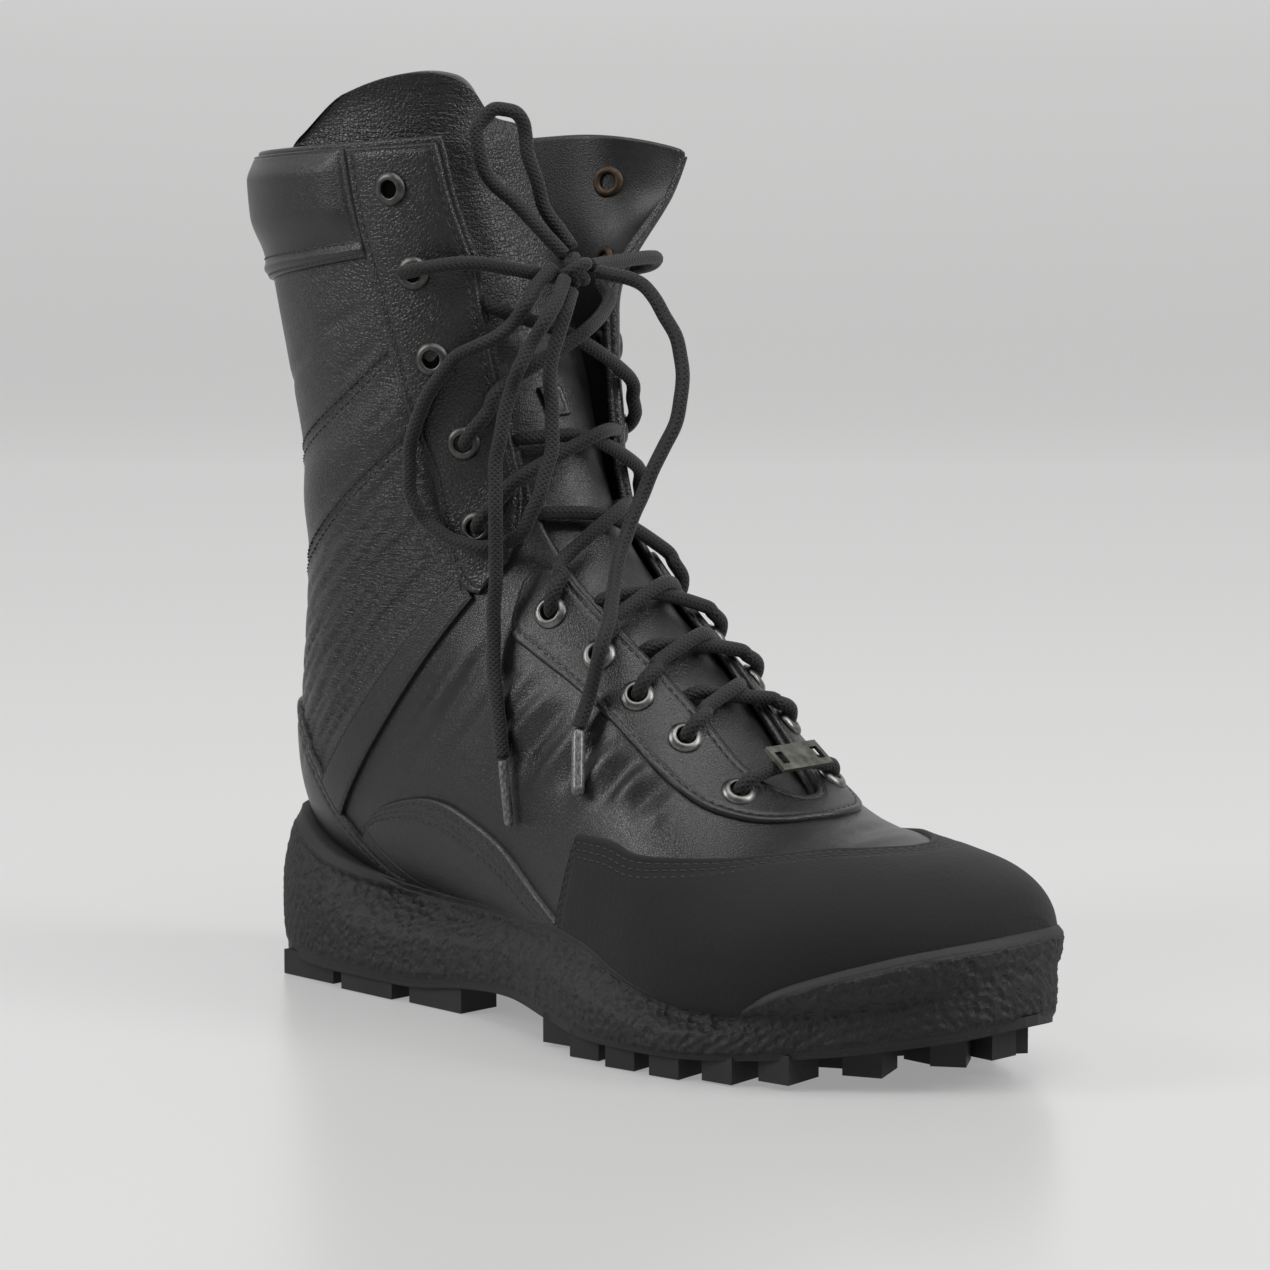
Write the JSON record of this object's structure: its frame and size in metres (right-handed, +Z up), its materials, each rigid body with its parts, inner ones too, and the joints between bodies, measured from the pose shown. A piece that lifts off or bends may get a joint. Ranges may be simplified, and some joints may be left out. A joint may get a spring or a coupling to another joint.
{
  "type": "tactical boot",
  "caption": "Black lace-up tactical boot with a slack open shaft, padded collar, rubber-lugged sole, toe rand, tongue, metal eyelets and a bow-tied lace.",
  "frame": {"origin": "on the floor plane, under the middle of the heel, on the boot's fore-and-aft line through the heel", "axes": "+X towards the toe, +Y towards the inner (medial) side, +Z up"},
  "size_m": [0.3043, 0.1267, 0.2789],
  "materials": {
    "upper_leather": "tumbled, soft sheen",
    "smooth_leather": "smooth, soft sheen",
    "tumbled_leather": "tumbled grain, soft sheen",
    "tongue_leather": "grained, satin",
    "rand_nubuck": "matte nubuck",
    "sidewall_rubber": "matte, textured",
    "sole_rubber": "matte",
    "insole_fabric": "plain footbed cloth",
    "lace_cord": "round braid",
    "eyelet_metal": "gunmetal",
    "aglet_metal": "grey, woven under a clear sleeve",
    "tag_metal": "dull gunmetal"
  },
  "bodies": {
    "root": {"outsole": "sole_rubber", "midsole": "sidewall_rubber", "insole": "insole_fabric", "upper": "upper_leather", "toe_cap": "rand_nubuck", "heel_counter": "smooth_leather", "backstay": "smooth_leather", "collar": "smooth_leather", "eyestay_lateral": "tumbled_leather", "eyestay_medial": "tumbled_leather", "lower_facing": "smooth_leather", "ankle_strap_lateral": "smooth_leather", "ankle_strap_medial": "smooth_leather", "side_panel_lateral": "smooth_leather", "side_panel_medial": "smooth_leather", "tongue": "tongue_leather", "lace_keeper": "tongue_leather", "lace_crossing_9_8": "lace_cord", "lace_crossing_8_7": "lace_cord", "lace_crossing_7_6": "lace_cord", "lace_crossing_6_5": "lace_cord", "lace_crossing_5_4": "lace_cord", "lace_crossing_4_2": "lace_cord", "lace_bottom_bar": "lace_cord", "lace_tag": "tag_metal", "lace_strand_lateral": "lace_cord", "lace_strand_medial": "lace_cord", "lace_knot": "lace_cord", "lace_loop_a": "lace_cord", "lace_loop_c": "lace_cord", "lace_end_1": "lace_cord", "lace_end_2": "lace_cord", "aglet_1": "aglet_metal", "aglet_2": "aglet_metal", "eyelet_lateral_1": "eyelet_metal", "eyelet_lateral_2": "eyelet_metal", "eyelet_lateral_3": "eyelet_metal", "eyelet_lateral_4": "eyelet_metal", "eyelet_lateral_5": "eyelet_metal", "eyelet_lateral_6": "eyelet_metal", "eyelet_lateral_7": "eyelet_metal", "eyelet_lateral_8": "eyelet_metal", "eyelet_lateral_9": "eyelet_metal", "eyelet_lateral_10": "eyelet_metal", "eyelet_medial_1": "eyelet_metal", "eyelet_medial_2": "eyelet_metal", "eyelet_medial_3": "eyelet_metal", "eyelet_medial_4": "eyelet_metal", "eyelet_medial_5": "eyelet_metal", "eyelet_medial_6": "eyelet_metal", "eyelet_medial_7": "eyelet_metal", "eyelet_medial_8": "eyelet_metal", "eyelet_medial_9": "eyelet_metal", "eyelet_medial_10": "eyelet_metal"}
  },
  "joints": []
}
